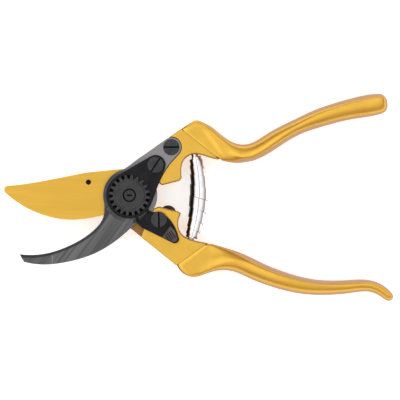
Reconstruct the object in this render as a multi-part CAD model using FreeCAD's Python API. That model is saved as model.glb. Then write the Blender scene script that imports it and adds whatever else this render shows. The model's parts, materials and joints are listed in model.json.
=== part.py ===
"""Bypass pruning shears, lying open on their back face.

The pivot runs along Z through the origin, the table is Z = 0 and the blades point along -X.
Every named value is in millimetres or degrees.
Outline points left of `hub_edge` move with `blade_length` and points right of `neck_end` with
`grip_length`, so longer blades or grips keep the same head between them.
"""
import FreeCAD
import Part
import math
import os

# ---------------------------------------------------------------- driving dimensions
blade_length = 65.0  # pivot to blade tip
grip_length = 137.0  # pivot to the end of the lower grip, along X
hub_edge = -15.0
neck_end = 42.0

close_angle = 30.5  # travel of the pivot from open to closed
catch_angle = 12.0  # travel of the thumb catch from free to locked

running_gap = 0.05  # radial and face clearance between pieces that turn on each other
seat_gap = 0.02  # clearance between pieces that are screwed or pressed together
sweep_gap = 0.4  # clearance between the hook blade's rim and what it turns past

# thicknesses, from the table up
bolt_head_t = 2.6
head_t = 6.0
blade_t = 3.0
hook_t = 4.25
segment_t = 1.8
catch_t = 2.0
pad_t = 2.4
groove_w = 0.6
groove_deep = 0.8
groove_length = 4.6
groove_pitch = 1.15
groove_count = 4
groove_angle = -58.0
nut_flange_t = 2.3
nut_boss_t = 2.0

# pivot hardware radii
shank_r = 4.5
shank_flat = 3.5  # half width across the flats that key the bolt to the hook blade
thread_r = 3.0
bush_wall = 1.5
bolt_head_r = 7.5
nut_teeth = 20
tooth_depth = 1.9
nut_root_r = 8.5
nut_boss_r = 7.9
nut_flats = 13.3
tooth_gap = 0.15
segment_rim = 1.35
meshing_teeth = 4

# rims and heads
hook_rim = 2.35  # how far the hook blade's rim stands out past the toothed segment
rim_step = 0.6  # how much less it stands out on the side away from the catch
head_r = 13.0
neck_round = 1.1
corner_round = 0.9

# screws
screw_r = 2.5
screw_head_r = 4.2
screw_head_t = 2.0
screw_proud = 0.8
slot_w = 1.0
slot_depth = 0.9
shoulder_r = 3.0
washer_t = 0.35

# bumper, dowel and spring
bumper_r = 3.6
bumper_dome = 1.95
bumper_depth = 3.0
dowel_r = 1.5
peg_r = 1.7
peg_depth = 5.0
peg_out = 4.0
strip_t = 0.3
strip_w = 5.9
spring_end_r = 2.85
spring_mid_r = 5.15
spring_turns = 9.2
spring_start = 60.0  # angle round the coil at which the strip begins, 90 being the front

# grips
grip_half_t = 9.2
core_half_t = 3.2
core_ribs = 9  # ribs of a grip that the core runs through
core_share = 0.42  # width of the handle's core as a share of the grip's width
seam_inset = 0.035  # how far a grip's end is drawn in beside the neck, as a share of its size
seam_run = 0.6
tip_blunt = 0.7  # 1 rounds a grip's tip as an ellipse, less makes it blunter
lower_tip = 5.2  # how far each grip's tip reaches past its last rib
upper_tip = 5.0

# bevels of the two cutting edges, and the small blind hole in the cutting blade
blade_bevel_w = 4.6
blade_land = 0.35
blade_hole_r = 1.3
blade_hole_deep = 2.4
hook_bevel_w = 1.6
hook_bevel_t = 0.9

# heights worked out from the stack
z_back = bolt_head_t + running_gap
z_seat = z_back + head_t
z_blade = z_seat + blade_t
z_hook = z_blade + running_gap
z_front = z_hook + hook_t
z_segment = z_front + segment_t
z_catch = z_front + running_gap
z_catch_top = z_catch + catch_t
z_notch = z_hook + 1.6
z_mid = (z_back + z_front) / 2
neck_half_t = (z_front - z_back) / 2

# radii worked out from the pivot hardware
tooth_r = nut_root_r + tooth_depth
segment_bore_r = tooth_r + tooth_gap
segment_r = segment_bore_r + segment_rim
rim_r = segment_r + hook_rim
notch_r = segment_r + running_gap
bush_r = shank_r + running_gap + bush_wall

FAR = 400.0


# ---------------------------------------------------------------- helpers
def pt(x, y, z=0.0):
    """A point of the plan, moved along X with the length of the blades or of the grips."""
    if x < hub_edge:
        x = hub_edge + (x - hub_edge) * (blade_length + hub_edge) / (65.0 + hub_edge)
    elif x > neck_end:
        x = neck_end + (x - neck_end) * (grip_length - neck_end) / (137.0 - neck_end)
    return FreeCAD.Vector(x, y, z)


def polar(r, degrees, z=0.0):
    """A point round the pivot, in true millimetres."""
    a = math.radians(degrees)
    return FreeCAD.Vector(r * math.cos(a), r * math.sin(a), z)


class Outline:
    """A closed plan outline, built as a run of lines, arcs and smooth curves."""

    def __init__(self, start):
        self.start = start
        self.at = start
        self.edges = []

    def line(self, *points):
        for p in points:
            self.edges.append(Part.LineSegment(self.at, p).toShape())
            self.at = p
        return self

    def arc(self, middle, end):
        self.edges.append(Part.Arc(self.at, middle, end).toShape())
        self.at = end
        return self

    def curve(self, *points):
        spline = Part.BSplineCurve()
        spline.interpolate([self.at, *points])
        self.edges.append(spline.toShape())
        self.at = points[-1]
        return self

    def solid(self, z0, z1):
        if self.at.distanceToPoint(self.start) > 1e-6:
            self.line(self.start)
        face = Part.Face(Part.Wire(self.edges))
        face.translate(FreeCAD.Vector(0, 0, z0))
        return face.extrude(FreeCAD.Vector(0, 0, z1 - z0))


def disc(centre, r, z0, z1):
    """A round bar along Z."""
    base = FreeCAD.Vector(centre.x, centre.y, z0)
    return Part.makeCylinder(r, z1 - z0, base)


def ring(centre, r_in, r_out, z0, z1):
    return disc(centre, r_out, z0, z1).cut(disc(centre, r_in, z0, z1))


def joined(first, *others):
    """One clean solid from several that touch."""
    return first.fuse(list(others)).removeSplitter()


def edges_where(shape, test):
    """The edges whose every sampled point passes the test."""
    found = []
    for edge in shape.Edges:
        a, b = edge.ParameterRange
        points = [edge.valueAt(a + (b - a) * k / 4) for k in range(5)]
        if all(test(p) for p in points):
            found.append(edge)
    return found


def at_height(z):
    return lambda p: abs(p.z - z) < 1e-4


def slotted_head(centre, head_r, z0, z1, slot_degrees):
    """A round screw head with a rounded rim and a straight slot right across it."""
    head = disc(centre, head_r, z0, z1)
    head = head.makeFillet(0.35, edges_where(head, at_height(z1)))
    slot = Part.makeBox(3 * head_r, slot_w, slot_depth * 2)
    slot.translate(FreeCAD.Vector(-1.5 * head_r, -slot_w / 2, z1 - slot_depth))
    slot.rotate(FreeCAD.Vector(0, 0, 0), FreeCAD.Vector(0, 0, 1), slot_degrees)
    slot.translate(FreeCAD.Vector(centre.x, centre.y, 0))
    return head.cut(slot)


def bevel_tool(run, width, z_keen, z_face, out):
    """A cutter that slopes from an outline's curved run, at z_keen, to `width` inside it, at z_face."""
    curve = Part.BSplineCurve()
    curve.interpolate(run)
    steps = 14
    first, last = curve.FirstParameter, curve.LastParameter
    rows = ([], [])
    for k in range(steps + 1):
        at = first + (last - first) * k / steps
        point, along = curve.value(at), curve.tangent(at)[0]
        side = along.cross(FreeCAD.Vector(0, 0, 1))
        side = side * math.copysign(1.0, side.dot(out))
        point = point + along * {0: -8.0, steps: 8.0}.get(k, 0.0)
        slope = width / (z_face - z_keen)
        for row, z in zip(rows, (z_keen - (z_face - z_keen) * 0.2, z_face + (z_face - z_keen) * 0.2)):
            level = point - side * (slope * (z - z_keen))
            row.append(FreeCAD.Vector(level.x, level.y, z))
    wires = []
    for row in rows:
        spline = Part.BSplineCurve()
        spline.interpolate(row)
        a, b = row[-1] + out * 40, row[0] + out * 40
        wires.append(Part.Wire([spline.toShape(), *Part.makePolygon([row[-1], a, b, row[0]]).Edges]))
    return Part.makeLoft(wires, True, True)


pivot = FreeCAD.Vector(0, 0, 0)
tang_screw_at = pt(21.5, 24.8)
segment_screw_at = pt(13.4, 15.6)
catch_screw_at = pt(15.1, -12.5)
dowel_at = polar(9.6, 255)
tang_r = 4.95
tang_left = FreeCAD.Vector(-0.577, 0.817, 0)
tang_gap = 0.5
slot_angles = {"tang": 0.0, "segment": 56.0, "catch": 92.0}

# ---------------------------------------------------------------- grips
# One row per rib of a grip, from the neck to the tip: the rib's outer end, its inner end, its half
# thickness, how square its sides are, how flat its crest is, both 2 for an ellipse and less for a
# sharper edge, and how far the crest leans to the inner side.
upper_ribs = [
    (pt(26.3, 34.2), pt(46.0, 18.55), neck_half_t, 9.0, 9.0, 0.0),
    (pt(30.4, 36.9), pt(47.6, 18.1), neck_half_t + 0.05, 7.5, 7.0, 0.05),
    (pt(34.5, 38.8), pt(49.2, 17.55), neck_half_t + 0.1, 6.0, 5.0, 0.1),
    (pt(42.0, 35.6), pt(53.0, 16.85), neck_half_t + 0.5, 4.0, 2.8, 0.3),
    (pt(48.5, 30.4), pt(57.2, 16.75), neck_half_t + 1.0, 2.8, 1.9, 0.42),
    (pt(54.5, 27.0), pt(60.0, 17.1), neck_half_t + 1.5, 2.4, 1.7, 0.45),
    (pt(61.0, 26.6), pt(64.5, 18.1), 8.5, 2.3, 1.6, 0.42),
    (pt(69.0, 30.6), pt(73.5, 22.7), 8.9, 2.3, 1.6, 0.26),
    (pt(79.5, 36.6), pt(84.5, 29.7), 9.2, 2.3, 1.6, 0.08),
    (pt(91.0, 42.2), pt(95.7, 34.35), grip_half_t, 2.3, 1.6, -0.18),
    (pt(103.0, 46.9), pt(107.0, 37.6), grip_half_t, 2.3, 1.6, -0.38),
    (pt(115.5, 50.5), pt(118.5, 39.95), 9.1, 2.3, 1.6, -0.48),
    (pt(127.3, 52.6), pt(129.2, 41.9), 8.4, 2.3, 1.6, -0.52),
]
lower_ribs = [
    (pt(24.0, -36.15), pt(39.9, -24.65), neck_half_t, 9.0, 9.0, 0.0),
    (pt(31.2, -42.1), pt(45.5, -25.95), neck_half_t + 0.1, 6.0, 5.0, -0.25),
    (pt(37.3, -41.4), pt(49.0, -27.0), neck_half_t + 0.4, 4.2, 2.8, -0.3),
    (pt(43.8, -39.3), pt(53.0, -28.2), neck_half_t + 0.9, 3.2, 2.0, -0.12),
    (pt(51.0, -38.95), pt(57.0, -29.6), neck_half_t + 1.4, 2.6, 1.7, 0.15),
    (pt(58.8, -41.5), pt(63.0, -32.3), 8.4, 2.3, 1.6, 0.36),
    (pt(68.5, -45.7), pt(72.0, -36.6), 8.9, 2.3, 1.6, 0.43),
    (pt(80.5, -49.4), pt(83.0, -40.6), 9.2, 2.3, 1.6, 0.45),
    (pt(93.0, -51.4), pt(94.7, -43.4), grip_half_t, 2.3, 1.6, 0.46),
    (pt(105.0, -51.45), pt(105.5, -44.1), 9.1, 2.3, 1.6, 0.4),
    (pt(115.5, -50.4), pt(115.5, -43.7), 8.3, 2.3, 1.6, 0.32),
    (pt(123.3, -49.85), pt(125.2, -44.1), 7.2, 2.3, 1.7, 0.28),
    (pt(130.0, -52.6), pt(133.5, -48.4), 5.6, 2.2, 1.8, 0.15),
]


def rib_wire(outer, inner, half_t, sides, crest, lean, scale=1.0, shift=None):
    """The closed section of a grip over one rib: rounded sides and a soft crest that leans over."""
    centre = (outer + inner) * 0.5
    across = (inner - outer) * 0.5 * scale
    if shift is not None:
        centre = centre + shift
    points = []
    steps = 24
    for k in range(steps):
        a = 2 * math.pi * (k + 0.5) / steps
        c, s = math.cos(a), math.sin(a)
        u = math.copysign(abs(c) ** (2 / crest), c)
        v = math.copysign(abs(s) ** (2 / sides), s)
        u += lean * (1 - abs(u)) * abs(s)
        points.append(centre + across * u + FreeCAD.Vector(0, 0, z_mid + half_t * scale * v))
    spline = Part.BSplineCurve()
    spline.interpolate(points, PeriodicFlag=True, Parameters=[k / steps for k in range(steps + 1)])
    return Part.Wire(spline.toShape())


def grip_body(ribs, tip_length):
    """The grip's outer shape: a loft over the ribs that closes in a rounded tip."""
    forward = ribs[1][0] + ribs[1][1] - ribs[0][0] - ribs[0][1]
    forward.normalize()
    wires = [rib_wire(*ribs[0], scale=1 - seam_inset)]
    wires.append(rib_wire(*ribs[0], shift=forward * seam_run))
    wires += [rib_wire(*rib) for rib in ribs[1:]]
    before, last = ribs[-2], ribs[-1]
    outward = (last[0] + last[1]) - (before[0] + before[1])
    across = last[1] - last[0]
    outward = outward - across * (outward.dot(across) / across.dot(across))
    outward.normalize()
    for degrees in (30, 52, 70, 82):
        a = math.radians(degrees)
        shift = outward * (tip_length * math.sin(a))
        wires.append(rib_wire(*last, scale=math.cos(a) ** tip_blunt, shift=shift))
    return Part.makeLoft(wires, True, False)


def grip_core(ribs, count):
    """The flat bar of the handle that runs inside the grip along its first ribs."""
    outer, inner = [], []
    for rib in ribs[:count]:
        middle = (rib[0] + rib[1]) * 0.5
        half = (rib[1] - rib[0]) * core_share * 0.5
        outer.append(middle - half)
        inner.append(middle + half)
    back = (ribs[0][0] + ribs[0][1] - ribs[1][0] - ribs[1][1]) * 0.5
    back.normalize()
    root_outer, root_inner = outer[0] + back * 2, inner[0] + back * 2
    outline = Outline(root_outer).line(outer[0]).curve(*outer[1:]).line(inner[-1])
    outline.curve(*reversed(inner[:-1])).line(root_inner)
    return outline.solid(z_mid - core_half_t, z_mid + core_half_t)


# ---------------------------------------------------------------- spring and what carries it
spring_low = pt(31.6, -22.4)
spring_bow = pt(35.8, 0.0)
spring_high = pt(33.7, 20.05)


def spring_arc():
    """The spring's curved centre line, from the lower seat to the upper one, at mid thickness."""
    lift = FreeCAD.Vector(0, 0, z_mid)
    return Part.Arc(spring_low + lift, spring_bow + lift, spring_high + lift).toShape()


def along_arc(arc, share):
    """Point and forward direction at a share of the arc's length."""
    a, b = arc.ParameterRange
    at = a + (b - a) * share
    return arc.valueAt(at), arc.tangentAt(at)


def spring_rise(way):
    """How far along the spring the strip has climbed, -1 to 1, when `way` of its turns are wound.

    The ends lie flat and the middle climbs by more than the strip's width in a turn.
    """
    return 1.5 * way - 0.5 * way**3


def spring():
    """A strip wound as two cones that meet at their wide ends, one continuous volute."""
    arc = spring_arc()
    length = arc.Length
    corners = [[], [], [], []]
    steps = round(spring_turns * 22)
    for k in range(steps + 1):
        way = 2 * k / steps - 1
        middle = 0.5 + spring_rise(way) * (length - strip_w) / (2 * length)
        angle = math.radians(spring_start) + math.pi * spring_turns * (way + 1)
        for i, (rise, out) in enumerate(((-0.5, 0), (0.5, 0), (0.5, 1), (-0.5, 1))):
            point, forward = along_arc(arc, middle + rise * strip_w / length)
            side = forward.cross(FreeCAD.Vector(0, 0, 1))
            r = spring_mid_r - (spring_mid_r - spring_end_r) * abs(way) - strip_t * (1 - out)
            spoke = side * math.cos(angle) + FreeCAD.Vector(0, 0, 1) * math.sin(angle)
            corners[i].append(point + spoke * r)
    curves = []
    for points in corners:
        curve = Part.BSplineCurve()
        curve.interpolate(points, Parameters=[k / steps for k in range(steps + 1)])
        curves.append(curve)
    faces = []
    spans = 2 * math.ceil(spring_turns)
    for j in range(spans):
        sides = [curve.toShape(j / spans, (j + 1) / spans) for curve in curves]
        faces += [Part.makeRuledSurface(sides[i], sides[(i + 1) % 4], 1) for i in range(4)]
    for end in (0, -1):
        faces.append(Part.Face(Part.makePolygon([c[end] for c in corners] + [corners[0][end]])))
    shell = Part.Shell([f for shape in faces for f in shape.Faces])
    shell.sewShape()
    return Part.Solid(shell)


def spring_peg(share, outward, radius=peg_r):
    """A round steel peg pressed into a handle, which the end of the spring sits on."""
    point, forward = along_arc(spring_arc(), share)
    axis = forward * outward
    start = point + axis * peg_depth
    return Part.makeCylinder(radius, peg_depth + peg_out, start, axis * -1)


# ---------------------------------------------------------------- blade side: lower handle and blade
bumper_foot = pt(20.3, -7.15, z_mid)
bumper_axis = FreeCAD.Vector(0.254, 0.967, 0).normalize()
step_low = pt(5.9, -21.9)
step_high = pt(7.8, -16.9)
flank_top = pt(0.0, -16.8)  # where the handle's straight outer flank starts, under the hook


def bumper():
    """A rubber plug with a domed end that stands out of the lower handle's horn."""
    root = bumper_foot - bumper_axis * bumper_depth
    stem = Part.makeCylinder(bumper_r, bumper_depth, root, bumper_axis)
    cap_r = (bumper_r**2 + bumper_dome**2) / (2 * bumper_dome)
    ball = Part.makeSphere(cap_r, bumper_foot + bumper_axis * (bumper_dome - cap_r))
    cap = Part.makeCylinder(bumper_r, bumper_dome, bumper_foot, bumper_axis)
    return joined(stem, ball.common(cap))


def lower_plan(z0, z1):
    """The lower handle's plan from the pivot head to the seam of the grip."""
    seam_outer, seam_inner = lower_ribs[0][0], lower_ribs[0][1]
    outline = Outline(flank_top).line(seam_outer, seam_inner)
    outline.curve(pt(37.8, -24.3), pt(34.2, -23.6), pt(31.0, -22.6), pt(28.2, -21.3))
    outline.curve(pt(26.0, -18.9), pt(25.0, -15.6), pt(25.2, -12.0))
    outline.line(pt(26.5, -9.4), pt(24.8, -8.3), pt(15.1, -5.8), pt(12.4, -6.9), pt(6.0, -9.0))
    return outline.solid(z0, z1)


def head_web(z0, z1):
    """The round pivot head with the straight flank that runs from it to the neck."""
    touch = math.atan2(flank_top.y, flank_top.x) - math.acos(head_r / flank_top.Length)
    web = Outline(polar(head_r, math.degrees(touch)))
    web = web.line(flank_top, pt(6.0, -9.0), pivot).solid(z0, z1)
    return joined(disc(pivot, head_r, z0, z1), web)


def behind_step(gap):
    """Everything on the pivot's side of the step in the lower handle's neck, above the blade seat."""
    along = (step_high - step_low).normalize()
    side = FreeCAD.Vector(-along.y, along.x, 0)
    a = step_low - along * 30 + side * gap
    b = step_high + side * gap
    outline = Outline(a).line(b, b + FreeCAD.Vector(0, 60, 0), b + FreeCAD.Vector(-120, 60, 0))
    outline.line(a + FreeCAD.Vector(-120, 0, 0))
    return outline.solid(z_seat, FAR)


def neck_rounded(body, seam_a, seam_b):
    """Rounds the corners and rims of a handle's neck, except along the seam with its grip."""
    seam = (seam_b - seam_a).normalize()

    def off_seam(p):
        flat = FreeCAD.Vector(p.x, p.y, 0) - seam_a
        return abs(flat.cross(seam).z) > 1e-3

    upright = [
        e
        for e in body.Edges
        if abs(e.tangentAt(e.FirstParameter).z) > 0.99 and off_seam(e.valueAt(e.FirstParameter))
    ]
    body = body.makeFillet(corner_round, upright)
    rims = []
    for z in (z_back, z_front):
        rims += [
            e
            for e in edges_where(body, at_height(z))
            if off_seam(e.valueAt((e.FirstParameter + e.LastParameter) / 2))
        ]
    return body.makeFillet(neck_round, rims)


def lower_handle():
    body = lower_plan(z_back, z_front)
    body = neck_rounded(body, lower_ribs[0][0], lower_ribs[0][1])
    body = joined(body, head_web(z_back, z_seat), grip_core(lower_ribs, core_ribs))
    body = body.cut(behind_step(0.0))
    body = body.cut(disc(pivot, rim_r + sweep_gap, z_seat, FAR))
    body = body.cut(disc(pivot, bush_r + seat_gap, 0, FAR))
    body = body.cut(disc(dowel_at, dowel_r + seat_gap, z_seat - head_t / 2, FAR))
    body = body.cut(disc(catch_screw_at, screw_r + seat_gap, z_back + 3, FAR))
    root = bumper_foot - bumper_axis * (bumper_depth + seat_gap)
    body = body.cut(Part.makeCylinder(bumper_r + seat_gap, 2 * bumper_depth, root, bumper_axis))
    return body.cut(spring_peg(0, -1, peg_r + seat_gap))


def grip(ribs, core_count, tip_length):
    body = grip_body(ribs, tip_length)
    return body.cut(grip_core(ribs, core_count))


def cutting_blade():
    """The moving blade, with its hub, its heel against the step, and its bevel on the back face."""
    keen = [pt(-64.4, 1.3), pt(-55.5, -5.3), pt(-45.0, -10.1), pt(-32.0, -12.6), pt(-19.0, -11.5)]
    keen.append(pt(-7.0, -8.6))
    outline = Outline(pt(-63.6, 4.9)).arc(pt(-64.95, 3.3), keen[0]).curve(*keen[1:])
    outline.line(pivot, pt(-3.0, 13.7), pt(-22.2, 11.8))
    outline.curve(pt(-36.9, 8.9), pt(-50.0, 6.5), pt(-63.6, 4.9))
    body = outline.solid(z_seat, z_blade)
    out = FreeCAD.Vector(-0.2, -0.98, 0)
    body = body.cut(bevel_tool(keen, blade_bevel_w, z_blade - blade_land, z_seat, out))
    heel = lower_plan(z_seat, z_blade).common(behind_step(seat_gap))
    body = joined(body, head_web(z_seat, z_blade), heel)
    body = body.cut(disc(pivot, shank_r + running_gap, 0, FAR))
    body = body.cut(disc(dowel_at, dowel_r + seat_gap, 0, FAR))
    return body.cut(disc(pt(-21.4, 6.8), blade_hole_r, z_blade - blade_hole_deep, FAR))


# ---------------------------------------------------------------- hook side: upper handle and hook
nose_angle = -70.5  # where the catch's nose points when locked, seen from the pivot
nose_half = 2.5
nose_room = (3.0, 1.0)  # how much wider the rim's notches are than the nose, to its left and right
nose_r = notch_r + 0.5
nose_t = 1.6


def upper_plan(z0, z1):
    seam_outer, seam_inner = upper_ribs[0][0], upper_ribs[0][1]
    outline = Outline(seam_outer).line(tang_screw_at + tang_left * tang_r, pt(7.4, 19.9))
    outline.line(pt(14.9, 6.4), pt(16.7, 5.2), pt(25.6, 7.5), pt(26.8, 9.2))
    outline.curve(pt(26.5, 13.0), pt(27.2, 16.8), pt(29.4, 19.8))
    outline.curve(pt(33.5, 21.3), pt(38.3, 20.5), seam_inner)
    outline.line(seam_outer)
    return outline.solid(z0, z1)


def tang_plan(grow, z0, z1):
    """The hook blade's straight tang, a tapering bar with a round end, grown by a clearance."""
    end_r = tang_r + grow
    right = FreeCAD.Vector(0.73, -0.683, 0)
    tip = FreeCAD.Vector(0.817, 0.577, 0)
    side_out = right * grow
    outline = Outline(tang_screw_at + tang_left * end_r)
    outline.arc(tang_screw_at + tip * end_r, tang_screw_at + right * end_r)
    outline.line(pt(20.4, 16.2) + side_out)
    outline.curve(pt(17.2, 11.3) + side_out, pt(15.1, 7.3) + side_out, pt(13.7, 3.0) + side_out)
    outline.line(pivot, pt(-6.5, 8.0), pt(-7.4, 11.0))
    outline.curve(pt(-3.1, 13.3), pt(1.2, 16.4), pt(6.4, 20.2) + tang_left * grow)
    return outline.solid(z0, z1)


def tang_pocket():
    """The open-sided seat for the tang in the upper handle."""
    shoulder = tang_screw_at + tang_left * tang_r
    out = tang_left * 8
    side = Outline(pt(6.4, 20.2)).line(shoulder, shoulder + out, pt(6.4, 20.2) + out)
    return joined(tang_plan(tang_gap, z_hook - seat_gap, FAR), side.solid(z_hook - seat_gap, FAR))


def hook_body():
    """The curved hook that the blade passes, with its inner edge sloped towards the front."""
    inner = [polar(rim_r - rim_step, 184), pt(-13.0, -5.6), pt(-13.9, -12.0), pt(-18.4, -17.9)]
    inner += [pt(-30.7, -25.8), pt(-43.1, -30.0), pt(-56.7, -30.4)]
    outline = Outline(inner[0]).curve(*inner[1:]).line(pt(-54.4, -34.3))
    outline.curve(pt(-44.0, -35.7), pt(-31.0, -34.1), pt(-18.3, -30.1), pt(-6.0, -22.6), pt(0.4, -17.0))
    outline.line(pt(4.4, -12.7))
    outline.line(pivot)
    body = outline.solid(z_hook, z_front)
    out = FreeCAD.Vector(-0.5, 0.87, 0)
    return body.cut(bevel_tool(inner[2:], hook_bevel_w, z_front - hook_bevel_t, z_front, out))


def rim_cut(r, from_degrees, to_degrees):
    """A blind cut into the front of the hook blade's rim between two angles, in to radius r."""
    middle = (from_degrees + to_degrees) / 2
    outer = rim_r + 6
    outline = Outline(polar(r, from_degrees)).arc(polar(r, middle), polar(r, to_degrees))
    outline.line(polar(outer, to_degrees)).arc(polar(outer, middle), polar(outer, from_degrees))
    return outline.solid(z_notch, FAR)


def hook_blade():
    hub = disc(pivot, rim_r, z_hook, z_front)
    left = disc(pivot, rim_r - rim_step, z_hook, z_front)
    right = Outline(pivot).line(polar(60, -78), polar(60, 60)).solid(0, FAR)
    hub = joined(left, hub.common(right))
    body = joined(hub, tang_plan(0, z_hook, z_front), hook_body())
    low, high = nose_angle - nose_half - nose_room[0], nose_angle + nose_half + nose_room[1]
    for turn in (0.0, close_angle):
        body = body.cut(rim_cut(notch_r, low + turn, high + turn))
    key = disc(pivot, shank_r + seat_gap, 0, FAR)
    flats = Part.makeBox(2 * shank_flat + 2 * seat_gap, FAR, FAR)
    flats.translate(FreeCAD.Vector(-shank_flat - seat_gap, -FAR / 2, -FAR / 2))
    body = body.cut(key.common(flats))
    body = body.cut(disc(tang_screw_at, screw_r + seat_gap, 0, FAR))
    sunk = z_front + screw_proud - screw_head_t
    body = body.cut(disc(tang_screw_at, screw_head_r + seat_gap, sunk, FAR))
    return body.cut(disc(segment_screw_at, screw_r + seat_gap, 0, FAR))


def upper_handle():
    body = upper_plan(z_back, z_front)
    body = neck_rounded(body, upper_ribs[0][0], upper_ribs[0][1])
    body = joined(body, grip_core(upper_ribs, core_ribs))
    body = body.cut(tang_pocket())
    body = body.cut(disc(pivot, rim_r + sweep_gap, 0, FAR))
    for centre in (tang_screw_at, segment_screw_at):
        body = body.cut(disc(centre, screw_r + seat_gap, z_back + 2, FAR))
    return body.cut(spring_peg(1, 1, peg_r + seat_gap))


# ---------------------------------------------------------------- pivot hardware
def gear_plan(root_r, tip_r, count, share, first_degrees, z0, z1, inward=False):
    """A disc edged with tapered teeth; with inward, only the teeth, pointing at the pivot."""
    pitch = 360.0 / nut_teeth
    foot, tip = pitch * share / 2, pitch * share * 0.3
    sunk = 0.4 if inward else -0.4
    teeth = []
    for k in range(count):
        a = first_degrees + k * pitch
        outline = Outline(polar(root_r + sunk, a - foot)).line(polar(root_r, a - foot), polar(tip_r, a - tip))
        outline.line(polar(tip_r, a + tip), polar(root_r, a + foot), polar(root_r + sunk, a + foot))
        teeth.append(outline.solid(z0, z1))
    return teeth


tooth_phase = 11.5  # the first nut tooth's angle


def pivot_nut():
    """The toothed adjusting nut: a toothed flange, and a round boss with two spanner flats."""
    z0, z1 = z_front + running_gap, z_front + nut_flange_t
    teeth = gear_plan(nut_root_r, tooth_r, nut_teeth, 0.55, tooth_phase, z0, z1)
    body = joined(disc(pivot, nut_root_r, z0, z1), *teeth)
    boss = disc(pivot, nut_boss_r, z1, z1 + nut_boss_t)
    boss = boss.makeChamfer(0.5, edges_where(boss, at_height(z1 + nut_boss_t)))
    flats = Part.makeBox(4 * nut_boss_r, nut_flats, FAR)
    flats.translate(FreeCAD.Vector(-2 * nut_boss_r, -nut_flats / 2, 0))
    flats.rotate(pivot, FreeCAD.Vector(0, 0, 1), 34.5)
    body = joined(body, boss.common(flats))
    body = body.cut(disc(pivot, thread_r + seat_gap, 0, FAR))
    top = z1 + nut_boss_t
    mouth = Part.makeCone(thread_r, thread_r + 0.5, 0.5, FreeCAD.Vector(0, 0, top - 0.5))
    return body.cut(mouth)


def toothed_segment():
    """The keyhole-shaped lock plate round the nut, with teeth that stop the nut from turning."""
    z0, z1 = z_front, z_segment
    lobe_r = screw_head_r + 0.9
    reach_out = segment_screw_at.Length
    lean = math.degrees(math.acos((segment_r - lobe_r) / reach_out))
    way = math.degrees(math.atan2(segment_screw_at.y, segment_screw_at.x))
    flank = Outline(polar(segment_r, way + lean)).line(segment_screw_at + polar(lobe_r, way + lean))
    flank.line(segment_screw_at + polar(lobe_r, way - lean), polar(segment_r, way - lean), pivot)
    plate = joined(
        disc(pivot, segment_r, z0, z1), disc(segment_screw_at, lobe_r, z0, z1), flank.solid(z0, z1)
    )
    plate = plate.makeFillet(0.4, edges_where(plate, at_height(z1)))
    plate = plate.cut(disc(pivot, segment_bore_r, 0, FAR))
    pitch = 360.0 / nut_teeth
    first = tooth_phase + pitch * round((way - tooth_phase) / pitch) - pitch * (meshing_teeth - 1) / 2
    teeth = gear_plan(
        segment_bore_r, nut_root_r + tooth_gap, meshing_teeth, 0.38, first, z0, z1, inward=True
    )
    plate = joined(plate, *teeth)
    return plate.cut(disc(segment_screw_at, screw_r + seat_gap, 0, FAR))


def pivot_bolt():
    """The pivot bolt: round head at the back, plain shank, flats in the hook blade, then thread."""
    head = disc(pivot, bolt_head_r, 0, bolt_head_t)
    head = head.makeFillet(0.6, edges_where(head, at_height(0)))
    shank = disc(pivot, shank_r, bolt_head_t, z_blade)
    flats = Part.makeBox(2 * shank_flat, FAR, hook_t + running_gap - 0.3)
    flats.translate(FreeCAD.Vector(-shank_flat, -FAR / 2, z_blade))
    keyed = disc(pivot, shank_r, z_blade, z_front).common(flats)
    top = z_front + nut_flange_t + nut_boss_t + 0.1
    thread = disc(pivot, thread_r, z_blade, top)
    thread = thread.makeChamfer(0.3, edges_where(thread, at_height(top)))
    slot = Part.makeBox(2.8, 1.0, 2.0, FreeCAD.Vector(-1.4, -0.5, top - 1.0))
    return joined(head, shank, keyed, thread.cut(slot))


def bush():
    return ring(pivot, shank_r + running_gap, bush_r, z_back, z_seat)


def dowel():
    pin = disc(dowel_at, dowel_r, z_seat - head_t / 2, z_blade - 0.2)
    return pin.makeChamfer(0.3, edges_where(pin, at_height(z_blade - 0.2)))


# ---------------------------------------------------------------- screws
def tang_screw():
    top = z_front + screw_proud
    head = slotted_head(tang_screw_at, screw_head_r, top - screw_head_t, top, slot_angles["tang"])
    return joined(head, disc(tang_screw_at, screw_r, z_back + 3, top - screw_head_t))


def segment_screw():
    top = z_segment + 1.0
    head = slotted_head(segment_screw_at, screw_head_r, z_segment, top, slot_angles["segment"])
    return joined(head, disc(segment_screw_at, screw_r, z_back + 3, z_segment))


def catch_screw():
    """The thumb catch's shoulder screw: the catch turns on the shoulder, under the head."""
    seat = z_catch_top + washer_t + running_gap
    top = seat + 1.0
    head = slotted_head(catch_screw_at, screw_head_r - 0.1, seat, top, slot_angles["catch"])
    shoulder = disc(catch_screw_at, shoulder_r, z_front, seat)
    return joined(head, shoulder, disc(catch_screw_at, screw_r, z_back + 4, z_front))


def catch_washer():
    z0 = z_catch_top + running_gap / 2
    return ring(catch_screw_at, shoulder_r + running_gap, screw_head_r - 0.3, z0, z0 + washer_t)


def catch_plan(z0, z1):
    """The catch's plate in plan, its inner edge as near the lock plate as its swing lets it lie."""
    outline = Outline(polar(segment_r + 2.5, -76)).curve(
        polar(segment_r + 2.0, -64), polar(segment_r + 1.2, -52), polar(segment_r + 0.7, -44)
    )
    outline.line(pt(11.4, -8.6), pt(16.4, -8.7))
    outline.curve(pt(20.6, -12.3), pt(23.6, -16.9), pt(25.2, -21.4))
    outline.arc(pt(24.7, -24.2), pt(21.9, -24.3))
    outline.line(pt(6.2, -16.6))
    return outline.solid(z0, z1)


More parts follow.
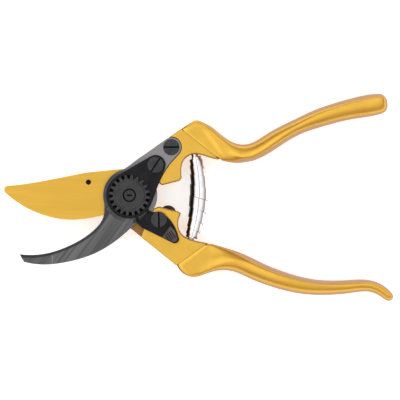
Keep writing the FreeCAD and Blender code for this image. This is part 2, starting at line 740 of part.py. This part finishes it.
def thumb_catch():
    """The lock lever: a flat plate on the handle's face, a nose down into the rim, a ribbed thumb pad."""
    plate = catch_plan(z_catch, z_catch_top)
    plate = plate.makeFillet(0.5, edges_where(plate, at_height(z_catch_top)))
    pad = Outline(pt(16.8, -21.3)).line(pt(20.9, -15.6)).curve(pt(23.3, -18.3), pt(24.5, -21.6))
    pad.arc(pt(24.1, -23.6), pt(22.0, -23.5))
    pad = pad.solid(z_catch_top - 0.5, z_catch_top + pad_t)
    pad = pad.makeFillet(0.5, edges_where(pad, at_height(z_catch_top + pad_t)))
    for k in range(groove_count):
        corner = FreeCAD.Vector(-groove_length / 2, -groove_w / 2, 0)
        groove = Part.makeBox(groove_length, groove_w, 2 * groove_deep, corner)
        groove.rotate(pivot, FreeCAD.Vector(0, 0, 1), groove_angle)
        aside = polar(groove_pitch * (k - (groove_count - 1) / 2), groove_angle + 90)
        floor = FreeCAD.Vector(0, 0, z_catch_top + pad_t - groove_deep)
        groove.translate(pt(21.0, -20.9) + aside + floor)
        pad = pad.cut(groove)
    nose = catch_nose().common(catch_plan(z_notch, z_catch_top))
    body = joined(plate, pad, nose)
    return body.cut(disc(catch_screw_at, shoulder_r + running_gap, 0, FAR))


def catch_nose():
    """The nose under the catch's plate, shaped where it locks and swung back to where it is free."""
    low, high = nose_angle - nose_half, nose_angle + nose_half
    r1 = nose_r + nose_t
    outline = Outline(polar(nose_r, low)).arc(polar(nose_r, nose_angle), polar(nose_r, high))
    outline.line(polar(r1, high)).arc(polar(r1, nose_angle), polar(r1, low))
    nose = outline.solid(z_notch + 0.2, z_catch + 0.8)
    nose.rotate(catch_screw_at, FreeCAD.Vector(0, 0, 1), catch_angle)
    return nose


# ---------------------------------------------------------------- build
pieces = {
    "lower_handle": lower_handle,
    "lower_grip": lambda: grip(lower_ribs, core_ribs, lower_tip),
    "cutting_blade": cutting_blade,
    "blade_dowel": dowel,
    "pivot_bush": bush,
    "rubber_bumper": bumper,
    "lower_spring_peg": lambda: spring_peg(0, -1),
    "catch_screw": catch_screw,
    "catch_washer": catch_washer,
    "thumb_catch": thumb_catch,
    "volute_spring": spring,
    "upper_handle": upper_handle,
    "upper_grip": lambda: grip(upper_ribs, core_ribs, upper_tip),
    "upper_spring_peg": lambda: spring_peg(1, 1),
    "hook_blade": hook_blade,
    "tang_screw": tang_screw,
    "segment_screw": segment_screw,
    "toothed_segment": toothed_segment,
    "pivot_nut": pivot_nut,
    "pivot_bolt": pivot_bolt,
}


def build():
    os.makedirs("parts", exist_ok=True)
    for name, make in pieces.items():
        shape = make()
        if len(shape.Solids) == 1:
            shape = shape.Solids[0]
        print(f"{name}: {len(shape.Solids)} solid, valid {shape.isValid()}, {shape.Volume:.0f} mm3")
        shape.exportStep(f"parts/{name}.step")


if __name__ == "__main__":
    build()
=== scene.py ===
"""Bypass pruning shears with gold handles, a dark hook blade and a polished volute spring."""
import json
import math

import bpy
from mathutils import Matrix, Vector


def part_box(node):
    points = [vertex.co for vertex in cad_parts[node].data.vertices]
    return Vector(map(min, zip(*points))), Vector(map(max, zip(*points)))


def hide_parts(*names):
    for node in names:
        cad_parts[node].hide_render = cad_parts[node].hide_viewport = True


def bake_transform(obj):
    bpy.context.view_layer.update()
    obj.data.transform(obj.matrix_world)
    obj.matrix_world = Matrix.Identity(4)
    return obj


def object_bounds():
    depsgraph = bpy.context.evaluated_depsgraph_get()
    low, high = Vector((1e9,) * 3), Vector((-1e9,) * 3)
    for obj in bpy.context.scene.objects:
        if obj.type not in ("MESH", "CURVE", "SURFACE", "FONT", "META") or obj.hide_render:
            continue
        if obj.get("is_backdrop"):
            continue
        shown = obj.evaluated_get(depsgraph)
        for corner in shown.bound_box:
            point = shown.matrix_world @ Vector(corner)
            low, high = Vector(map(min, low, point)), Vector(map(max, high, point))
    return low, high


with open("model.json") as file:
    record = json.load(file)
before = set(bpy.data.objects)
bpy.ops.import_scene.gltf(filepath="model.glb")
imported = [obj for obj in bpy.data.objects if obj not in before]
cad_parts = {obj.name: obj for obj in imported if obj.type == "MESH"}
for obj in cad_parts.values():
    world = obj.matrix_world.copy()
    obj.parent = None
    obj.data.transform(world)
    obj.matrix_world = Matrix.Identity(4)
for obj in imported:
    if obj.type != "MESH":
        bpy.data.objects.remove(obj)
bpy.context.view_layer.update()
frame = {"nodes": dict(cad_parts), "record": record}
bpy.context.scene.view_settings.view_transform = "Standard"

# ------------------------------------------------------------------ handles
# The two handles are drop forged from aluminium, tumbled smooth and anodised a satin gold under a
# clear lacquer. The lower one carries the pivot and the cutting blade; the upper one takes the hook
# blade's tang in a pocket.


class Value:
    """One output of a shader node, so that shader sums read as plain sums."""

    def __init__(self, nodes, socket):
        self.nodes = nodes
        self.socket = socket

    def maths(self, operation, *operands):
        return self.nodes.node("Math", {"operation": operation}, dict(enumerate(operands)))

    def __add__(self, other):
        return self.maths("ADD", self, other)

    def __sub__(self, other):
        return self.maths("SUBTRACT", self, other)

    def __mul__(self, other):
        return self.maths("MULTIPLY", self, other)

    def __rsub__(self, other):
        return self.maths("SUBTRACT", other, self)

    __radd__ = __add__
    __rmul__ = __mul__

    def __abs__(self):
        return self.maths("ABSOLUTE", self)

    def __pow__(self, other):
        return self.maths("POWER", self, other)

    def rise(self, low, high):
        """0 below low, 1 above high, and smooth between; it falls where low is above high."""
        if low > high:
            return 1 - self.rise(high, low)
        settings = {"interpolation_type": "SMOOTHSTEP"}
        return self.nodes.node("MapRange", settings, {"Value": self, "From Min": low, "From Max": high})


class Nodes:
    """A shader's node tree, with the nodes that this object's finishes are made of."""

    def __init__(self, tree):
        self.made = tree.nodes
        self.links = tree.links

    def node(self, kind, settings, inputs, output=0):
        made = self.made.new("ShaderNode" + kind)
        for key, value in settings.items():
            setattr(made, key, value)
        for key, value in inputs.items():
            if isinstance(value, Value):
                self.links.new(value.socket, made.inputs[key])
            else:
                made.inputs[key].default_value = value
        return Value(self, made.outputs[output])

    def place(self, turn=0.0, stretch=(1, 1, 1)):
        """The piece's own coordinates in metres, turned about Z and stretched."""
        own = self.node("TexCoord", {}, {}, "Object")
        turned = self.node("VectorRotate", {"rotation_type": "Z_AXIS"}, {"Vector": own, "Angle": turn})
        return self.node("VectorMath", {"operation": "MULTIPLY"}, {0: turned, 1: stretch})

    def axis(self, name):
        return self.node("SeparateXYZ", {}, {0: self.place()}, name)

    def facing(self, direction):
        """How far the surface faces a direction of the scene: 1 straight at it, -1 away."""
        normal = self.node("NewGeometry", {}, {}, "Normal")
        return self.node("VectorMath", {"operation": "DOT_PRODUCT"}, {0: normal, 1: direction}, "Value")

    def edge(self, reach):
        """1 on corners that are sharper than the reach, 0 on open faces."""
        soft = self.node("Bevel", {"samples": 6}, {"Radius": reach})
        normal = self.node("NewGeometry", {}, {}, "Normal")
        same = self.node("VectorMath", {"operation": "DOT_PRODUCT"}, {0: soft, 1: normal}, "Value")
        return (1 - same).rise(0.01, 0.12)

    def crevice(self, reach):
        """1 deep in gaps and corners narrower than the reach, 0 on open faces."""
        share_open = self.node("AmbientOcclusion", {"samples": 8}, {"Distance": reach}, "AO")
        return share_open.rise(0.64, 0.30)

    def noise(self, scale, detail=3.0, turn=0.0, stretch=(1, 1, 1), rough=0.55):
        inputs = {"Vector": self.place(turn, stretch), "Scale": scale, "Detail": detail, "Roughness": rough}
        return self.node("TexNoise", {}, inputs)

    def mix(self, share, a, b):
        """Colour a where share is 0, colour b where it is 1."""
        a = (*a, 1) if isinstance(a, tuple) else a
        b = (*b, 1) if isinstance(b, tuple) else b
        return self.node("Mix", {"data_type": "RGBA"}, {0: share, 6: a, 7: b}, 2)


class Finish(Nodes):
    """A surface finish: one Principled shader and the nodes that feed it."""

    def __init__(self, name, **constants):
        self.material = bpy.data.materials.new(name)
        self.material.use_nodes = True
        super().__init__(self.material.node_tree)
        self.made.clear()
        self.shader = self.made.new("ShaderNodeBsdfPrincipled")
        output = self.made.new("ShaderNodeOutputMaterial")
        self.links.new(self.shader.outputs[0], output.inputs["Surface"])
        for socket, value in constants.items():
            self.shader.inputs[socket.replace("_", " ")].default_value = value

    def feed(self, socket, value):
        self.links.new(value.socket, self.shader.inputs[socket])

    def bump(self, height, depth, strength):
        """Raises the surface by up to `depth` metres of a height that runs from 0 to 1."""
        inputs = {"Height": height, "Distance": depth, "Strength": strength}
        self.feed("Normal", self.node("Bump", {}, inputs))


def shades(colour, spread):
    """A darker and a lighter shade of one colour."""
    return tuple(c * (1 - spread) for c in colour), tuple(min(1.0, c * (1 + spread)) for c in colour)


def gold_finish(name, colour, roughness, grain_turn):
    """Satin gold under lacquer, with painted shade: a duller, browner gold on its flanks and brown in its
    crevices.
    """
    flank_shade_brown, worn_gold, shade_brown = (0.42, 0.25, 0.105), (0.92, 0.68, 0.26), (0.17, 0.075, 0.022)
    lacquer = {"Coat_Weight": 0.35, "Coat_Roughness": 0.3}
    finish = Finish(name, Metallic=1.0, Specular_Tint=(0.80, 0.62, 0.58, 1), **lacquer)
    mottle = finish.noise(90, 3)
    grain = finish.noise(1800, 3, grain_turn, (1, 0.2, 0.6))
    scratches = finish.noise(500, 2, grain_turn + 0.5, (1, 0.02, 0.3)).rise(0.68, 0.74)
    dark, light = shades(colour, 0.05)
    tone = finish.mix((mottle * 0.7 + grain * 0.3).rise(0.3, 0.7), dark, light)
    # painted shade: faces that slope away from straight up are painted a duller, browner gold
    flank_shade = abs(finish.facing((0.0, 0.0, 1.0))).rise(0.72, 0.40)
    tone = finish.mix(flank_shade, tone, flank_shade_brown)
    tone = finish.mix(finish.edge(0.0005) * 0.3 * (1 - flank_shade), tone, worn_gold)
    # painted shade: gaps and corners narrower than 1.2 mm are painted brown
    painted_shade = finish.crevice(0.0012)
    finish.feed("Base Color", finish.mix(painted_shade * 0.9, tone, shade_brown))
    finish.feed("Roughness", roughness + (grain - 0.5) * 0.06 + (mottle - 0.5) * 0.05 + painted_shade * 0.2)
    finish.bump(grain * 0.7 + scratches * 0.3, 0.00002, 0.15)
    return finish.material


def paint(material, *nodes):
    for node in nodes:
        frame["nodes"][node].material_slots[0].material = material


paint(gold_finish("handle_gold", (0.78, 0.46, 0.060), 0.34, 0.66), "lower_handle", "upper_handle")

# ------------------------------------------------------------------ grips
# Each grip is a forged gold shell pressed over its handle's core and polished by hand, so it is a
# little smoother than the neck, with a soft crest along it and a shallow groove where the two meet.
paint(gold_finish("grip_gold", (0.80, 0.47, 0.058), 0.31, 0.15), "lower_grip", "upper_grip")

# ------------------------------------------------------------------ bush and dowel
# A turned bronze bush lines the handle's head, and a hardened steel dowel keys the cutting blade to
# the handle so that it can't turn on the pivot.


def bright_finish(name, base, roughness):
    finish = Finish(name, Metallic=1.0)
    haze = finish.noise(300, 3)
    lines = finish.noise(2600, 2, 0.0, (1, 0.1, 1))
    finish.feed("Base Color", finish.mix(haze.rise(0.3, 0.7), *shades(base, 0.06)))
    finish.feed("Roughness", roughness + haze * 0.05 + (lines - 0.5) * 0.05)
    finish.bump(lines, 0.00001, 0.3)
    return finish.material


paint(bright_finish("bush_bronze", (0.58, 0.38, 0.18), 0.3), "pivot_bush")
paint(bright_finish("dowel_steel", (0.35, 0.35, 0.36), 0.25), "blade_dowel")

# ------------------------------------------------------------------ cutting blade
# The cutting blade is stamped from 3 mm high carbon steel, ground flat along its length, bevelled on
# the back face and coated gold. Its heel, under the handle's step, is painted brown as a shadow, and
# painted shade darkens its corners. The small blind hole near its spine is painted near black as
# shade, across the hole's whole circle and so on the back face too.


def frame_mount(name):
    """Where one of the record's mounts lies."""
    found = [mount for mount in frame["record"]["mounts"] if mount["name"] == name]
    return Vector(found[0]["pos_m"])


def blade_finish():
    gold, worn_gold = (0.74, 0.44, 0.066), (0.90, 0.66, 0.26)
    heel_shadow_brown, shade_brown, hole_shade_black = (0.28, 0.135, 0.045), (0.14, 0.055, 0.012), (0.022, 0.013, 0.006)
    finish = Finish("blade_gold", Metallic=1.0, Specular_Tint=(0.90, 0.74, 0.66, 1))
    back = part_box("cutting_blade")[0].z
    lines = finish.noise(700, 3, 0.05, (0.04, 1, 0.3))
    cloud = finish.noise(40, 2, 0.05, (0.4, 1, 1))
    dark, light = shades(gold, 0.06)
    tone = finish.mix((lines * 0.5 + cloud * 0.5).rise(0.3, 0.7), dark, light)
    tone = finish.mix(finish.edge(0.0004) * 0.5, tone, worn_gold)
    x, y, z = finish.axis("X"), finish.axis("Y"), finish.axis("Z")
    # painted shadow: the heel under the handle's step is painted brown
    heel = x.rise(-0.0060, -0.0010) * y.rise(-0.0095, -0.0115)
    hole = frame_mount("blade_hole")
    from_hole = ((x - hole.x) ** 2.0 + (y - hole.y) ** 2.0) ** 0.5
    # painted shade: gaps and corners narrower than 1 mm are painted dark brown
    painted_shade = finish.crevice(0.0010)
    tone = finish.mix(heel * 0.9, tone, heel_shadow_brown)
    tone = finish.mix(painted_shade * 0.8, tone, shade_brown)
    # painted shade: near black within the hole's circle at any depth, the back face included
    hole_shade = from_hole.rise(0.00150, 0.00125)
    finish.feed("Base Color", finish.mix(hole_shade, tone, hole_shade_black))
    ground = z.rise(back + 0.0004, back + 0.0001)
    finish.feed("Roughness", 0.34 + (lines - 0.5) * 0.16 - ground * 0.06 + heel * 0.1)
    finish.bump(lines, 0.00003, 0.3)
    return finish.material


paint(blade_finish(), "cutting_blade")

# ------------------------------------------------------------------ hook blade
# The hook is forged steel. Its front is surface ground, which leaves clear diagonal lines, and its
# sides and the relief along its inner edge keep the dark forging scale. Painted shade darkens its
# front under the lock plate and in its corners, and a painted shadow lies on the rim beside the catch.
# Painted reflection lightens the tang and the hub's lower right, and painted shade darkens the hub's
# left side.


def hook_finish():
    ground_dark, ground_light = (0.092, 0.092, 0.094), (0.162, 0.162, 0.165)
    tip_grey, rubbed_grey, worn_grey = (0.080, 0.080, 0.083), (0.30, 0.30, 0.31), (0.32, 0.32, 0.33)
    tang_reflection_grey, crescent_reflection_grey, hub_shade_grey = (0.29, 0.285, 0.295), (0.22, 0.22, 0.225), (0.045, 0.044, 0.047)
    scale_grey, catch_shadow_black, shade_near_black = (0.050, 0.050, 0.053), (0.030, 0.029, 0.027), (0.008, 0.008, 0.008)
    finish = Finish("hook_steel", Metallic=1.0)
    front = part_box("hook_blade")[1].z
    grind_turn, hub_r, plate_r, soft_edge = math.radians(-54), 0.0148, 0.0121, 0.0004
    fine = finish.noise(900, 3, grind_turn, (0.02, 1, 0.2), 0.6)
    bold = finish.noise(330, 2, grind_turn, (0.03, 1, 0.2), 0.6)
    streak = fine * 0.5 + bold * 0.5
    tone = finish.mix(streak.rise(0.34, 0.66), ground_dark, ground_light)
    x, y, z = finish.axis("X"), finish.axis("Y"), finish.axis("Z")
    tip = x.rise(-0.0400, -0.0406)
    tone = finish.mix(tip * 0.25, tone, tip_grey)
    rub_x = 0.0398
    rub = abs(x + rub_x).rise(0.0004, 0.0001) * y.rise(-0.0300, -0.0320)
    tone = finish.mix(rub * 0.6, tone, rubbed_grey)
    # painted reflection: the tang is painted a lighter grey
    tang = (x + y).rise(0.004, 0.034)
    tone = finish.mix(tang * 0.8, tone, tang_reflection_grey)
    from_pivot = (x * x + y * y) ** 0.5
    # painted reflection: the hub's lower right is painted a lighter grey
    crescent_reflection = x.rise(0.006, 0.012) * y.rise(0.004, -0.002) * from_pivot.rise(0.0155, 0.0145)
    tone = finish.mix(crescent_reflection * 0.7, tone, crescent_reflection_grey)
    # painted shade: the hub's left side is painted darker
    hub_left_shade = from_pivot.rise(0.0142, 0.0136) * x.rise(0.001, -0.008)
    tone = finish.mix(hub_left_shade * 0.65, tone, hub_shade_grey)
    scale = z.rise(front - 0.00004, front - 0.0002)
    tone = finish.mix(scale * 0.75, tone, scale_grey)
    # painted shade: near black on the front under the lock plate, and in gaps and corners
    plate_and_corner_shade = from_pivot.rise(plate_r, plate_r - soft_edge) * z.rise(front - 0.0005, front - 0.0001)
    # painted shadow: the rim beside the catch is painted near black
    on_rim = from_pivot.rise(plate_r, plate_r + soft_edge) * from_pivot.rise(hub_r, hub_r - soft_edge)
    catch_shadow = on_rim * x.rise(0.0012, 0.0026) * y.rise(-0.0082, -0.0094)
    tone = finish.mix(catch_shadow * 0.9, tone, catch_shadow_black)
    plate_and_corner_shade = 1 - (1 - plate_and_corner_shade) * (1 - finish.crevice(0.0010) * 0.8)
    tone = finish.mix(plate_and_corner_shade, tone, shade_near_black)
    worn = finish.edge(0.0004) * 0.5 * (1 - scale)
    finish.feed("Base Color", finish.mix(worn, tone, worn_grey))
    finish.feed("Roughness", 0.36 + (streak - 0.5) * 0.2 + scale * 0.08 + plate_and_corner_shade * 0.2)
    finish.bump(streak, 0.00004, 0.4)
    return finish.material


paint(hook_finish(), "hook_blade")

# ------------------------------------------------------------------ pivot bolt, nut and lock plate
# The bolt, the toothed nut and the keyhole-shaped lock plate are machined steel, blackened in hot
# oxide and oiled. The nut's face is turned, which leaves faint rings, and painted shade darkens the
# nut below its face, between its teeth, and the bolt below its top.


def black_finish(name, base, roughness, turned_about=None, shade_below=None):
    """Blackened steel; with turned_about it has rings there, and painted shade darkens what lies below the
    last argument's height.
    """
    finish = Finish(name, Metallic=1.0)
    ring_rate, wear_gain, shade_depth, recess_shade_black = 14000, 2.6, 0.0005, (0.006, 0.006, 0.006)
    mottle = finish.noise(260, 4)
    grain = finish.noise(2400, 3)
    shade = mottle * 0.6 + grain * 0.4
    height = grain
    if turned_about is not None:
        x, y = finish.axis("X") - turned_about.x, finish.axis("Y") - turned_about.y
        radius = (x * x + y * y) ** 0.5
        rings = finish.node("Math", {"operation": "SINE"}, {0: radius * ring_rate})
        shade = shade * 0.7 + (rings * 0.5 + 0.5) * 0.3
        height = grain * 0.5 + rings * 0.3
    tone = finish.mix(shade.rise(0.3, 0.7), *shades(base, 0.22))
    tone = finish.mix(finish.edge(0.0003) * 0.55, tone, tuple(min(1.0, c * wear_gain) for c in base))
    rough = roughness + (shade - 0.5) * 0.16
    # painted shade: near black below the given height, in slots and between teeth
    if shade_below is not None:
        painted_shade = finish.axis("Z").rise(shade_below, shade_below - shade_depth)
        tone = finish.mix(painted_shade * 0.92, tone, recess_shade_black)
        rough = rough + painted_shade * 0.25
    finish.feed("Base Color", tone)
    finish.feed("Roughness", rough)
    finish.bump(height, 0.00002, 0.4)
    return finish.material


centre = Vector((0, 0, 0))
nut_top, bolt_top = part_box("pivot_nut")[1].z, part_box("pivot_bolt")[1].z
paint(black_finish("nut_black", (0.060, 0.060, 0.061), 0.30, centre, nut_top - 0.0021), "pivot_nut")
paint(black_finish("bolt_black", (0.052, 0.052, 0.053), 0.34, centre, bolt_top - 0.0002), "pivot_bolt")
paint(black_finish("plate_black", (0.020, 0.020, 0.022), 0.38), "toothed_segment")

# ------------------------------------------------------------------ screws
# Three slotted steel screws, blackened like the plates they hold: one through the tang, one through
# the lock plate, and the shoulder screw that the thumb catch turns on, with its thin washer.
# painted shade: each screw is painted near black below its top face, in its slot and round its head
for screw in ("tang_screw", "segment_screw", "catch_screw"):
    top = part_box(screw)[1].z
    black = black_finish(screw + "_black", (0.062, 0.063, 0.064), 0.28, None, top - 0.0003)
    paint(black, screw)
paint(black_finish("washer_black", (0.05, 0.05, 0.05), 0.3), "catch_washer")

# ------------------------------------------------------------------ thumb catch
# The catch is a stamped and blackened steel plate. The top of its raised thumb pad is painted a
# lighter grey-brown, with dark grooves across it.


def catch_finish():
    black, pad_brown, worn_grey = (0.019, 0.019, 0.021), (0.110, 0.098, 0.092), (0.11, 0.11, 0.115)
    finish = Finish("catch_black", Metallic=1.0)
    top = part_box("thumb_catch")[1].z
    mottle = finish.noise(260, 4)
    grain = finish.noise(2400, 3)
    shade = mottle * 0.6 + grain * 0.4
    z = finish.axis("Z")
    # the top of the raised pad is painted a lighter grey-brown
    pad = z.rise(top - 0.0006, top - 0.0003)
    pad_top_tones = shades(pad_brown, 0.2)
    tone = finish.mix(shade.rise(0.3, 0.7), *shades(black, 0.2))
    tone = finish.mix(pad, tone, finish.mix(mottle.rise(0.3, 0.7), *pad_top_tones))
    finish.feed("Base Color", finish.mix(finish.edge(0.0004) * 0.4, tone, worn_grey))
    finish.feed("Roughness", 0.36 + (shade - 0.5) * 0.16)
    finish.bump(grain, 0.00002, 0.4)
    return finish.material


paint(catch_finish(), "thumb_catch")

# ------------------------------------------------------------------ bumper
# A moulded black rubber plug, pressed into the lower handle's horn, that cushions the closing
# handles. Its surface is dull, with a faint grey bloom.


def rubber_finish():
    finish = Finish("bumper_rubber", Specular_IOR_Level=0.35)
    bloom = finish.noise(700, 4)
    tone = finish.mix(bloom.rise(0.35, 0.75), (0.012, 0.012, 0.012), (0.035, 0.034, 0.033))
    finish.feed("Base Color", tone)
    finish.feed("Roughness", 0.55 + (bloom - 0.5) * 0.25)
    finish.bump(bloom, 0.00005, 0.5)
    return finish.material


paint(rubber_finish(), "rubber_bumper")

# ------------------------------------------------------------------ volute spring and its pegs
# One strip of spring steel is wound as two cones that meet at their wide ends and polished bright.
# The flat end turns sit on two bright pegs. Faces turned towards the pivot, on the strip and the
# pegs, carry a painted dark reflection that is painted brown near both ends, as a reflection of the
# gold handles.


def spring_finish():
    polished, dark_reflection, brown_reflection = (0.80, 0.80, 0.815), (0.040, 0.040, 0.044), (0.130, 0.070, 0.015)
    middle_y = -0.0005
    finish = Finish("spring_polished", Metallic=1.0)
    haze = finish.noise(220, 3)
    lines = finish.noise(3000, 2, 0.0, (1, 0.1, 1))
    bright = finish.mix(haze.rise(0.3, 0.7), *shades(polished, 0.04))
    # painted reflection: faces turned towards -X are painted dark, and brown near both ends
    scale = finish.facing((-1.0, 0.0, 0.0)).rise(0.47, 0.55)
    ends = abs(finish.axis("Y") - middle_y).rise(0.0095, 0.0110)
    painted_reflection = finish.mix(ends, dark_reflection, brown_reflection)
    finish.feed("Base Color", finish.mix(scale, bright, painted_reflection))
    finish.feed("Roughness", 0.035 + haze * 0.03 + (lines - 0.5) * 0.02 + scale * 0.25)
    finish.bump(lines, 0.000006, 0.25)
    return finish.material


class Coil:
    """The strip's path: an arc between the two pegs' seats, and the two cones wound about it."""

    strip_width, strip_thickness, strip_corner = 0.0059, 0.0003, 0.00008
    end_radius, middle_radius = 0.00285, 0.00515
    turns, first_angle = 9.2, math.radians(60)
    bow, seat = 0.003243, 0.0005

    def __init__(self):
        low, high = (sum(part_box(name), Vector()) / 2 for name in ("lower_spring_peg", "upper_spring_peg"))
        chord = high - low
        half = chord.length / 2
        self.radius = (half**2 + self.bow**2) / (2 * self.bow)
        outward = Vector((chord.y, -chord.x, 0)).normalized()
        self.centre = (low + high) / 2 - outward * (self.radius - self.bow)
        start = low - self.centre
        self.start = math.atan2(start.y, start.x)
        self.length = 2 * self.radius * math.asin(half / self.radius) - 2 * self.seat

    def along(self, distance):
        """The point that far along the arc from the lower seat, and the direction out of its curve."""
        angle = self.start + (self.seat + distance) / self.radius
        out = Vector((math.cos(angle), math.sin(angle), 0))
        return self.centre + out * self.radius, out

    def corner(self, way, across, depth):
        """A point of the strip: way from -1 to 1 along it, across its width, and depth into it.

        The climb eases to nothing at both ends, so the end turns lie flat on their seats.
        """
        climb = 1.5 * way - 0.5 * way**3
        point, out = self.along(self.length / 2 + climb * (self.length - self.strip_width) / 2 + across)
        turn = self.first_angle + math.pi * self.turns * (way + 1)
        r = self.middle_radius - (self.middle_radius - self.end_radius) * abs(way) - depth
        return point + (out * math.cos(turn) + Vector((0, 0, 1)) * math.sin(turn)) * r


def strip_section(width, thickness, corner):
    """The strip's section: across and depth, once round, with rounded corners."""
    half = width / 2
    flat = half - corner
    cut = corner * 0.3
    front = [(flat * k / 3, 0.0) for k in range(-3, 4)]
    front.append((half - cut, cut))
    side = [(half, corner), (half, thickness - corner), (half - cut, thickness - cut)]
    run = front + side
    return run + [(-across, thickness - depth) for across, depth in run]


def volute_spring():
    coil = Coil()
    section = strip_section(coil.strip_width, coil.strip_thickness, coil.strip_corner)
    rings_per_turn = 48
    rings = round(coil.turns * rings_per_turn)
    points = []
    for k in range(rings + 1):
        points += [coil.corner(2 * k / rings - 1, across, depth) for across, depth in section]
    count = len(section)
    faces = []
    for k in range(rings):
        for i in range(count):
            j = (i + 1) % count
            faces.append((k * count + i, k * count + j, (k + 1) * count + j, (k + 1) * count + i))
    faces.append(tuple(reversed(range(count))))
    faces.append(tuple(rings * count + i for i in range(count)))
    mesh = bpy.data.meshes.new("polished_spring")
    mesh.from_pydata(points, [], faces)
    mesh.shade_smooth()
    spring = bpy.data.objects.new("polished_spring", mesh)
    bpy.context.scene.collection.objects.link(spring)
    spring.modifiers.new("even_normals", "WEIGHTED_NORMAL").weight = 90
    return spring, coil


spring_polish = spring_finish()
spring, coil = volute_spring()
spring.data.materials.append(spring_polish)
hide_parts("volute_spring")
coil.along(0)[0]
coil.along(coil.length)[0]
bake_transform(spring)
paint(spring_polish, "lower_spring_peg", "upper_spring_peg")

# ------------------------------------------------------------------ studio
# A white table, a soft white tent that is brightest overhead and warm and dim low down, with the thin
# dark seams that polished steel shows, and a long lens straight above the flat side of the shears.


def table():
    white = Finish("table_white", Roughness=0.9, Emission_Strength=0.5)
    cloud = white.noise(3, 2)
    white.feed("Base Color", white.mix(cloud, (0.92, 0.92, 0.92), (0.94, 0.94, 0.94)))
    white.shader.inputs["Emission Color"].default_value = (1, 1, 1, 1)
    mesh = bpy.data.meshes.new("table")
    half = 3.0
    corners = [(-half, -half, 0), (half, -half, 0), (half, half, 0), (-half, half, 0)]
    mesh.from_pydata(corners, [], [(0, 1, 2, 3)])
    top = bpy.data.objects.new("table", mesh)
    top.data.materials.append(white.material)
    bpy.context.scene.collection.objects.link(top)
    top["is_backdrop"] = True


def tent():
    world = bpy.data.worlds.new("tent")
    world.use_nodes = True
    bpy.context.scene.world = world
    sky = Nodes(world.node_tree)
    way = sky.node("TexCoord", {}, {}, "Generated")
    x, z = (sky.node("SeparateXYZ", {}, {0: way}, name) for name in ("X", "Z"))
    up = z.rise(0.25, 0.92)
    seam = 1 - abs(x).rise(0.06, 0.03) * z.rise(0.5, 0.7) * 0.95
    low_right = 1 - abs(z - 0.105).rise(0.035, 0.02) * x.rise(0.2, 0.4) * 0.9
    low_left = 1 - z.rise(0.27, 0.22) * x.rise(-0.3, -0.5) * 0.9
    left_bright = 0.97 - x.rise(-0.25, 0.25) * 0.08
    level = (0.60 + up * 0.78) * left_bright * seam * low_right * low_left
    background = world.node_tree.nodes["Background"]
    tint = sky.mix(up, (1.0, 0.84, 0.82), (1.0, 1.0, 1.0))
    sky.links.new(tint.socket, background.inputs["Color"])
    sky.links.new(level.socket, background.inputs["Strength"])


def soft_light(name, where, size, power):
    lamp = bpy.data.lights.new(name, "AREA")
    lamp.shape = "RECTANGLE"
    lamp.size, lamp.size_y = size
    lamp.energy = power
    light = bpy.data.objects.new(name, lamp)
    light.location = where
    light.rotation_mode = "QUATERNION"
    light.rotation_quaternion = (-Vector(where)).to_track_quat("-Z", "Y")
    bpy.context.scene.collection.objects.link(light)


def camera():
    lens, sensor, seen = 200.0, 36.0, 0.206
    aside_x, aside_y, below_top = 0.0006, -0.0014, 0.0044
    data = bpy.data.cameras.new("camera")
    data.lens = lens
    data.sensor_width = sensor
    data.clip_end = 20
    view = bpy.data.objects.new("camera", data)
    low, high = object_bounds()
    middle = (low + high) / 2
    height = high.z - below_top + seen * lens / sensor
    view.location = (middle.x + aside_x, middle.y + aside_y, height)
    bpy.context.scene.collection.objects.link(view)
    bpy.context.scene.camera = view


table()
tent()
soft_light("key", (-0.5, 0.4, 0.9), (0.9, 0.9), 0.5)
camera()
